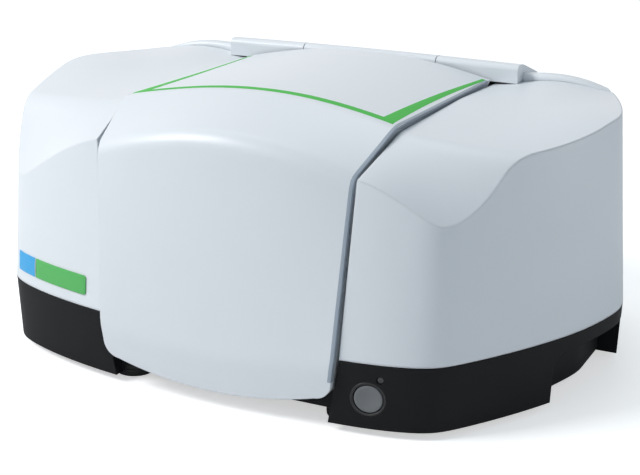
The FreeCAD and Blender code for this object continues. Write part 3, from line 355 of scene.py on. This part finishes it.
def piece(name, mesh, slot, body, *stands_for):
    """Links a finished mesh as one piece that rides on a body and takes a finish of the record."""
    made = bpy.data.objects.new(name, mesh)
    bpy.context.scene.collection.objects.link(made)
    mesh.materials.append(FINISHES[slot])
    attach(made, body)
    if stands_for:
        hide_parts(*stands_for)


def to_mesh(name, bm, smooth_below=35.0):
    """Closes a mesh in the making: smooth, except over edges that turn by more than the given degrees."""
    bmesh.ops.recalc_face_normals(bm, faces=bm.faces)
    mesh = bpy.data.meshes.new(name)
    bm.to_mesh(mesh)
    bm.free()
    for polygon in mesh.polygons:
        polygon.use_smooth = True
    mesh.set_sharp_from_angle(angle=math.radians(smooth_below))
    return mesh


def join_rows(bm, rows):
    """Faces between neighbouring rows of vertices."""
    for a, b in zip(rows[:-1], rows[1:]):
        for j in range(len(a) - 1):
            bm.faces.new((a[j], b[j], b[j + 1], a[j + 1]))


def extruded_border(bm):
    """New vertices of a second border line, still on the old one."""
    border = [e for e in bm.edges if len(e.link_faces) == 1]
    made = bmesh.ops.extrude_edge_only(bm, edges=border)["geom"]
    return [g for g in made if isinstance(g, bmesh.types.BMVert)]


def ring_radius(radius, angle, flats):
    """Distance to a circle, or to the sides of a regular polygon whose flats lie at the radius."""
    if not flats:
        return radius
    part = 2.0 * math.pi / flats
    return radius / math.cos((angle % part) - part / 2.0)


def lathe(bm, profile, base, direction, count):
    """Turned form: each row of the profile is a radius, its height along the direction, and a number of flats
    where the ring isn't round."""
    turn = direction.to_track_quat("Z", "Y").to_matrix()
    rings = []
    for radius, height, *flats in profile:
        if radius == 0.0:
            rings.append([bm.verts.new(base + turn @ Vector((0, 0, height)))])
            continue
        ring = []
        for i in range(count):
            angle = 2.0 * math.pi * i / count
            r = ring_radius(radius, angle, sum(flats))
            ring.append(bm.verts.new(base + turn @ Vector((r * math.cos(angle), r * math.sin(angle), height))))
        rings.append(ring)
    for low, high in zip(rings[:-1], rings[1:]):
        for i in range(count):
            j = (i + 1) % count
            corners = [low[i % len(low)], low[j % len(low)], high[j % len(high)], high[i % len(high)]]
            bm.faces.new(list(dict.fromkeys(corners)))


def turned(name, profile, spots, out, slot, body, node, count=48):
    """Turned piece in place of a node, repeated at each spot; out is the direction of its heights."""
    bm = bmesh.new()
    for spot in spots:
        lathe(bm, profile, Vector(spot), out, count)
    bmesh.ops.remove_doubles(bm, verts=bm.verts, dist=WELD)
    piece(name, to_mesh(name, bm), slot, body, node)


def round_run(radius, height, r, start, steps=5):
    """Rows of a corner rounded by r about a centre: start is the turn's first angle in degrees, going up by 90."""
    rows = []
    for i in range(steps + 1):
        a = math.radians(start + 90.0 * i / steps)
        rows.append((radius + r * math.cos(a), height + r * math.sin(a)))
    return rows


def button_cap():
    """Push button: dished face inside a soft rim, on its stem."""
    r, back, front, rim = 9.5 * MM, -4.4 * MM, 0.6 * MM, 0.9 * MM
    stem_r, stem_end = 3.0 * MM, -13.4 * MM
    face_r, face_sunk, dish = r - 2.2 * rim, 0.1 * MM, 0.75 * MM
    profile = [(0.0, stem_end), (stem_r, stem_end), (stem_r, back), (r, back)]
    profile += round_run(r - rim, front - rim, rim, 0.0)
    profile += [(face_r * share, front - dish * (1.0 - share ** 2) - face_sunk)
                for share in (1.0, 0.85, 0.7, 0.5, 0.3, 0.0)]
    turned("button_cap", profile, [BUTTON_SPOT], BUTTON_OUT, "button_grey", "button", "power_button")


def button_collar():
    """Ring round the button: rounded lip that falls inward."""
    outer, inner, back, front, lip = 12.0 * MM, 10.0 * MM, -7.1 * MM, 0.9 * MM, 0.7 * MM
    profile = [(inner, back), (outer, back)] + round_run(outer - lip, front - lip, lip, 0.0)
    profile += [(inner + 0.5 * MM, front - 0.15 * MM), (inner + 0.1 * MM, front - 0.5 * MM),
                (inner, front - 1.2 * MM), (inner, back)]
    turned("button_collar", profile, [BUTTON_SPOT], BUTTON_OUT, "bezel_black", "instrument", "button_bezel", 64)


def lamp_dome():
    """Small lamp above the button, with a low dome."""
    r, back, rim, high = 2.55 * MM, -8.4 * MM, -0.2 * MM, 0.8 * MM
    profile = [(0.0, back), (r, back), (r, rim)]
    profile += [(r * math.cos(math.radians(a)), rim + high * math.sin(math.radians(a))) for a in (20, 40, 60, 75)]
    profile.append((0.0, rim + high))
    turned("lamp_dome", profile, [LAMP_SPOT], BUTTON_OUT, "lamp_lens", "instrument", "status_lamp", 32)


def both_sides(spots, z):
    """Spots on the left and the right, all at one height."""
    return [(side * x, y, z) for x, y in spots for side in (-1, 1)]


def moulded_feet():
    """Four rubber feet with two grooves each and a sunk middle for the screw."""
    well_r, hole_r, edge = 4.0 * MM, 2.2 * MM, 1.0 * MM
    tread_r, wall_r, groove_r = FOOT_R - 1.6 * MM, FOOT_R - 0.4 * MM, FOOT_R - 0.9 * MM
    shoulder, mouth, floor_half = 7.2 * MM, 0.6 * MM, 0.3 * MM
    profile = [(well_r, FOOT_SEAT), (well_r, 0.2 * MM), (well_r + 0.4 * MM, 0.0), (tread_r, 0.0)]
    profile += round_run(tread_r, edge, edge, -90.0)
    for z in (3.2 * MM, 5.6 * MM):
        profile += [(wall_r, z - mouth), (groove_r, z - floor_half), (groove_r, z + floor_half),
                    (wall_r, z + mouth)]
    profile += [(FOOT_R, shoulder), (FOOT_R, FOOT_HIGH), (hole_r, FOOT_HIGH), (hole_r, FOOT_SEAT),
                (well_r, FOOT_SEAT)]
    turned("moulded_feet", profile, both_sides(FOOT_SPOTS, 0.0), UP, "black_rubber", "instrument", "rubber_feet")


def socket_screws(name, spots, length, out, node):
    """Button-head screws with a hexagon recess: spots are the middles of the faces that their heads rest on."""
    r, h = SCREW_HEAD_R, SCREW_HEAD_H
    shank_r, tip_r, tip = 2.0 * MM, 1.6 * MM, 0.5 * MM
    recess_top, recess_floor, hexagon = 1.35 * MM, 1.30 * MM, 6
    profile = [(0.0, -length), (tip_r, -length), (shank_r, tip - length), (shank_r, 0.0), (r, 0.0),
               (r, h * 0.45), (r * 0.93, h * 0.7), (r * 0.78, h * 0.88), (r * 0.62, h),
               (recess_top, h, hexagon), (recess_floor, h * 0.35, hexagon), (0.0, h * 0.25)]
    turned(name, profile, spots, out, "steel_screws", "instrument", node, 36)


class Wall:
    """Front of one cover, on which thin things are laid."""

    def __init__(self, node):
        self.tree = BVHTree.FromObject(nodes[node], bpy.context.evaluated_depsgraph_get())

    def spot(self, x, z, out):
        well_ahead = -0.4
        hit, normal, _, _ = self.tree.ray_cast(Vector((x, well_ahead, z)), Vector((0, 1, 0)))
        return hit + normal * out


def marker_field(name, slot, wall, x0, x1, low, high, *stands_for, round_right=0.0):
    """Thin blank plate laid on the cover, crowned at its rim, with its right corners rounded where asked."""
    thick, rim, seat = 1.15 * MM, 0.35 * MM, 0.1 * MM
    columns, across = 30, 8
    bm = bmesh.new()
    grid = []
    for i in range(columns + 1):
        x = x0 + (x1 - x0) * (i / columns)
        gap, pull = x1 - x, 0.0
        if gap < round_right:
            pull = round_right - math.sqrt(max(round_right ** 2 - (round_right - gap) ** 2, 0.0))
        at_end = min(x - x0, gap) < 0.5 * rim
        row = []
        for j in range(across + 1):
            z = low + pull + (high - low - 2.0 * pull) * j / across
            lower = rim if at_end or j in (0, across) else 0.0
            row.append(bm.verts.new(wall.spot(x, z, thick - lower)))
        grid.append(row)
    join_rows(bm, grid)
    for vert in extruded_border(bm):
        vert.co = wall.spot(vert.co.x, vert.co.z, seat)
    piece(name, to_mesh(name, bm, smooth_below=60.0), slot, "instrument", *stands_for)


def marker_plates():
    """Blue and green field of the blank plate, with a white divider between them."""
    wall = Wall("left_cover")
    blue_low, blue_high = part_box("marker_plate_blue")
    green_low, green_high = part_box("marker_plate_green")
    edge, hair, corner = 0.35 * MM, 0.01 * MM, 0.9 * MM
    marker_field("marker_field_blue", "marker_blue", wall, blue_low.x, blue_high.x - edge,
                 blue_low.z, blue_high.z, "marker_plate_blue")
    marker_field("marker_divider", "cover_white", wall, blue_high.x - edge + hair, green_low.x + edge - hair,
                 blue_low.z, blue_high.z)
    marker_field("marker_field_green", "marker_green", wall, green_low.x + edge, green_high.x,
                 green_low.z, green_high.z, "marker_plate_green", round_right=corner)


class LidSkin:
    """Outside of the lid with its line filled in, found by casting rays at it."""

    def __init__(self):
        seen = bpy.context.evaluated_depsgraph_get()
        self.skins = [(BVHTree.FromObject(nodes[name], seen), proud)
                      for name, proud in (("sample_lid", 0.0), ("lid_trim", TRIM_PROUD))]

    def cast(self, start, direction, reach):
        """First hit from the start, as its point and the normal that faces the start."""
        best = None
        for tree, proud in self.skins:
            point, normal, _, distance = tree.ray_cast(start, direction, reach)
            if point is not None and (best is None or distance < best[2]):
                if normal.dot(direction) > 0.0:
                    normal = -normal
                best = point - normal * proud, normal, distance
        return best[:2] if best else None

    def above(self, x, y):
        return self.cast(Vector((x, y, 0.4)), -UP, 0.5)

    def outer_edge(self, side, turn):
        """Corner between the lid's face and its side: at an angle round the lid's heart, or straight in below it."""
        away = Vector((0.0, -math.cos(max(turn, 0.0)), math.sin(max(turn, 0.0))))
        heart = LID_HEART + UP * (LID_REACH * math.tan(min(turn, 0.0)))
        outside_lid, past_skin, halvings = 0.25, 0.19, 12
        inside, outside = 0.080, 0.110
        found = None
        for _ in range(halvings):
            x = (inside + outside) / 2.0
            hit = self.cast(heart + Vector((side * x, 0, 0)) + away * outside_lid, -away, past_skin)
            if hit:
                inside, found = x, hit[0]
            else:
                outside = x
        return found


def raised_strip(name, rows, slot, body, sink, *stands_for):
    """Thin bead over rows of points, normals and lifts, with its border turned down into the surface."""
    bm = bmesh.new()
    grid, seat = [], {}
    for row in rows:
        line = []
        for point, normal, lift in row:
            vert = bm.verts.new(point + normal * lift)
            seat[tuple(vert.co)] = point - normal * sink
            line.append(vert)
        grid.append(line)
    join_rows(bm, grid)
    for vert in extruded_border(bm):
        vert.co = seat[tuple(vert.co)]
    piece(name, to_mesh(name, bm, smooth_below=50.0), slot, body, *stands_for)


def lid_loop(skin, name, slot, *stands_for, half, bow, y, side_wide, front_deep, lift):
    """Flat loop on the lid, open at the rear. Half is its half width at the rear and the corner, bow the inward
    curve of its sides, y the places of rear, corner and middle, side_wide the width of a side at the rear and the
    corner, and front_deep the depth of the front run at the corner and the middle."""
    side_steps, front_steps, across, sink = 40, 30, 4, 0.4 * MM
    outer, inner = [], []
    for i in range(side_steps + 1):
        share = i / side_steps
        x = half[0] + (half[1] - half[0]) * share - bow * math.sin(math.pi * share)
        along = y[0] + (y[1] - y[0]) * share
        wide = side_wide[0] + (side_wide[1] - side_wide[0]) * share ** 1.3
        outer.append(Vector((x, along)))
        inner.append(Vector((x - wide, along + front_deep[0] * share ** 6)))
    for i in range(1, front_steps + 1):
        share = 1.0 - i / front_steps
        along = y[1] + (y[2] - y[1]) * (1.0 - share ** 2)
        deep = front_deep[0] + (front_deep[1] - front_deep[0]) * (1.0 - share)
        outer.append(Vector((share * half[1], along)))
        inner.append(Vector((share * (half[1] - side_wide[1]), along + deep)))
    outer += [Vector((-p.x, p.y)) for p in outer[-2::-1]]
    inner += [Vector((-p.x, p.y)) for p in inner[-2::-1]]
    rows = []
    for a, b in zip(outer, inner):
        row = []
        for j in range(across + 1):
            spot = a.lerp(b, j / across)
            hit, normal = skin.above(spot.x, spot.y)
            row.append((hit, normal, lift * (0.6 if j in (0, across) else 1.0)))
        rows.append(row)
    raised_strip(name, rows, slot, "lid", sink, *stands_for)


def lid_lines(skin):
    """Green line as the photograph shows it, bowed at its sides, over a bed that closes the lid's groove."""
    lid_loop(skin, "lid_line_bed", "cover_white", half=(0.0986, 0.0986), bow=0.0, y=(0.0823, -0.0867, -0.0789),
             side_wide=(0.0030, 0.0071), front_deep=(0.0058, 0.0052), lift=0.02 * MM)
    lid_loop(skin, "lid_line", "green_trim", "lid_trim", half=(0.0976, 0.0968), bow=0.0027,
             y=(0.0850, -0.0836, -0.0772), side_wide=(0.0030, 0.0098), front_deep=(0.0082, 0.0064),
             lift=TRIM_PROUD)


def rim_row(skin, edge, i, side, fan):
    """Points round the bead at one place on the lid's edge, each with its direction and lift."""
    along = (edge[min(i + 1, len(edge) - 1)] - edge[max(i - 1, 0)]).normalized()
    out = Vector((side, 0, 0))
    out = (out - along * out.dot(along)).normalized()
    up = along.cross(out)
    if up.dot(edge[i] - LID_HEART) < 0.0:
        up = -up
    pivot = edge[i] - (out + up) * RIM_DEEP
    outside_lid, past_skin = 0.012, 0.016
    row = []
    for angle in fan:
        ray = out * math.cos(math.radians(angle)) + up * math.sin(math.radians(angle))
        hit = skin.cast(pivot + ray * outside_lid, -ray, past_skin)
        point = hit[0] if hit else pivot + ray * RIM_DEEP
        row.append((point, ray, 0.0 if angle in (fan[0], fan[-1]) else RIM_PROUD))
    return row


def lid_shade_rims(skin):
    """Painted shade: a blue-grey bead round each outer edge of the lid, up its front, over the shoulder and on to
    the rear corner, standing in for the shaded side wall of the lid. The left one keeps to the lid's side, because
    the photograph shows no grey on that edge."""
    first, last = RIM_TURN
    for side, name, fan in ((1, "lid_shade_rim_right", RIM_FAN), (-1, "lid_shade_rim_left", RIM_FAN[:4])):
        found = [skin.outer_edge(side, math.radians(first + (last - first) * (i / RIM_ROWS)))
                 for i in range(RIM_ROWS)]
        edge = [point for point in found if point is not None]
        rows = [rim_row(skin, edge, i, side, fan) for i in range(len(edge))]
        raised_strip(name, rows, "frame_grey", "lid", RIM_SINK)


def grip_linings():
    """Swelling inner wall of each hand cut-out, shallower toward the rear, with a rounded lower lip."""
    front, rear, inner, steps = -0.0520, 0.0455, 0.1885, 32
    bottom, top, corner = 0.0058, 0.0370, 0.0110
    start, swell, swell_run = 0.0010, 0.0130, 0.060
    top_edge = ((1.0 * MM, 0.0), (0.3 * MM, 0.3 * MM), (0.0, 1.0 * MM))
    lower_lip = ((0.0, 1.8 * MM), (0.4 * MM, 0.7 * MM), (1.2 * MM, 0.0))
    for side, name in ((1, "grip_lining_right"), (-1, "grip_lining_left")):
        bm = bmesh.new()
        rings = []
        for i in range(steps + 1):
            y = front + (rear - front) * i / steps
            share = min((y - front) / swell_run, 1.0)
            wall = inner + start + swell * share * share * (3.0 - 2.0 * share)
            fall = max(corner - (y - front), 0.0) / corner
            high = top - corner * (1.0 - math.sqrt(1.0 - fall * fall))
            ring = [(inner, high)] + [(wall - back, high - down) for back, down in top_edge]
            ring += [(wall - back, bottom + rise) for back, rise in lower_lip] + [(inner, bottom)]
            rings.append([bm.verts.new(Vector((side * x, y, z))) for x, z in ring])
        join_rows(bm, [ring + ring[:1] for ring in rings])
        bm.faces.new(rings[0])
        bm.faces.new(rings[-1])
        piece(name, to_mesh(name, bm), "base_black", "instrument")


def block(bm, centre, size):
    """Adds a plain block to a mesh in the making."""
    for vert in bmesh.ops.create_cube(bm, size=1.0)["verts"]:
        vert.co = centre + Vector([share * long for share, long in zip(vert.co, size)])


def socket_tongues():
    """Plastic tongue with bright contact strips inside each data socket."""
    side_gap, strips, strip_pitch = 3.2 * MM, 4, 0.45
    tongue_y, tongue_deep, tongue_thick = SOCKET_MOUTH_Y - 6.0 * MM, 10.0 * MM, 2.0 * MM
    strip_y, strip_z = SOCKET_MOUTH_Y - 5.4 * MM, SOCKET_MIDDLE_Z + 1.1 * MM
    strip_size = (0.9 * MM, 9.0 * MM, 0.3 * MM)
    tongue_edge, strip_edge = 0.35 * MM, 0.08 * MM
    for number, (x0, x1) in enumerate(DATA_SOCKETS, 1):
        middle, half = (x0 + x1) / 2.0, (x1 - x0) / 2.0 - side_gap
        bm = bmesh.new()
        block(bm, Vector((middle, tongue_y, SOCKET_MIDDLE_Z)), (2.0 * half, tongue_deep, tongue_thick))
        bmesh.ops.bevel(bm, geom=bm.edges[:], offset=tongue_edge, segments=2, affect="EDGES")
        name = "socket_tongue_%d" % number
        piece(name, to_mesh(name, bm), "bezel_black", "instrument")
        bm = bmesh.new()
        for i in range(strips):
            x = middle + half * (i - (strips - 1) / 2.0) * strip_pitch
            block(bm, Vector((x, strip_y, strip_z)), strip_size)
        bmesh.ops.bevel(bm, geom=bm.edges[:], offset=strip_edge, segments=1, affect="EDGES")
        name = "socket_contacts_%d" % number
        piece(name, to_mesh(name, bm), "copper_coil", "instrument")


def camera():
    """The photograph's viewpoint: a focal length of 1500 pixels in a frame 640 wide."""
    focal_pixels, frame_pixels, sensor = 1500.0, 640.0, 36.0
    azimuth, elevation = math.radians(26.035), math.radians(18.657)
    place = Vector((0.45855, -0.92845, 0.42373))
    ahead = Vector((-math.sin(azimuth) * math.cos(elevation), math.cos(azimuth) * math.cos(elevation),
                    -math.sin(elevation)))
    right = Vector((math.cos(azimuth), math.sin(azimuth), 0.0))
    turn = Matrix((right, right.cross(ahead), -ahead)).transposed()
    lens = bpy.data.cameras.new("camera")
    lens.sensor_width = sensor
    lens.lens = sensor * focal_pixels / frame_pixels
    lens.clip_start = 0.01
    made = bpy.data.objects.new("camera", lens)
    made.matrix_world = Matrix.Translation(place) @ turn.to_4x4()
    bpy.context.scene.collection.objects.link(made)
    bpy.context.scene.camera = made


def lamp(name, place, size, power):
    """Square area lamp that points at the instrument."""
    light = bpy.data.lights.new(name, "AREA")
    light.size = size
    light.energy = power
    made = bpy.data.objects.new(name, light)
    made.location = place
    made.rotation_euler = (LAMP_AIM - Vector(place)).to_track_quat("-Z", "Y").to_euler()
    bpy.context.scene.collection.objects.link(made)


def floor():
    """Pale floor that keeps the shadow; what the camera sees of it is lifted nearly to white."""
    bm = bmesh.new()
    bmesh.ops.create_grid(bm, x_segments=4, y_segments=4, size=FLOOR_SIZE)
    made = bpy.data.objects.new("floor", to_mesh("floor", bm))
    bpy.context.scene.collection.objects.link(made)
    f = Finish("floor_white")
    f.set(Base_Color=FLOOR_TONE, Roughness=0.9)
    seen = f.node("LightPath", output="Is Camera Ray")
    glowing = f.node("BsdfPrincipled", Base_Color=FLOOR_TONE, Roughness=0.9, Emission_Color=WHITE,
                     Emission_Strength=FLOOR_GLOW)
    both = f.node("MixShader", n0=seen, n1=Socket(f, f.shader.outputs[0]), n2=glowing)
    f.feed(f.tree.nodes["Material Output"].inputs["Surface"], both)
    made.data.materials.append(f.material)


def world():
    """Even surroundings: dim and cool as light, white where the camera, gloss and glass look into them."""
    studio = bpy.data.worlds.new("studio")
    bpy.context.scene.world = studio
    studio.use_nodes = True
    sheet = Sheet(studio.node_tree)
    back = sheet.tree.nodes["Background"]
    seen = sheet.node("LightPath", output="Is Camera Ray")
    for ray in ("Is Glossy Ray", "Is Transmission Ray"):
        seen = sheet.maths("MAXIMUM", seen, sheet.node("LightPath", output=ray))
    sheet.feed(back.inputs["Color"], sheet.mix(seen, WORLD_TINT, WHITE))
    sheet.feed(back.inputs["Strength"], sheet.node("MapRange", Value=seen, To_Min=WORLD_LIGHT, To_Max=1.0))


dress_nodes()
button_cap()
button_collar()
moulded_feet()
lamp_dome()
marker_plates()
lid_skin = LidSkin()
lid_lines(lid_skin)
lid_shade_rims(lid_skin)
grip_linings()
socket_tongues()
socket_screws("foot_screws_turned", both_sides(FOOT_SPOTS, FOOT_SEAT), FOOT_SCREW_LONG, -UP, "foot_screws")
socket_screws("cover_screws_turned", both_sides(COVER_SCREW_SPOTS, COVER_SCREW_SEAT), COVER_SCREW_LONG, -UP,
              "cover_screws")
socket_screws("bench_screws_turned", both_sides(BENCH_SCREW_SPOTS, BENCH_TOP), BENCH_SCREW_LONG, UP,
              "bench_screws")

camera()
for lamp_values in LAMPS:
    lamp(*lamp_values)
floor()
world()
bpy.context.scene.view_settings.view_transform = "Standard"
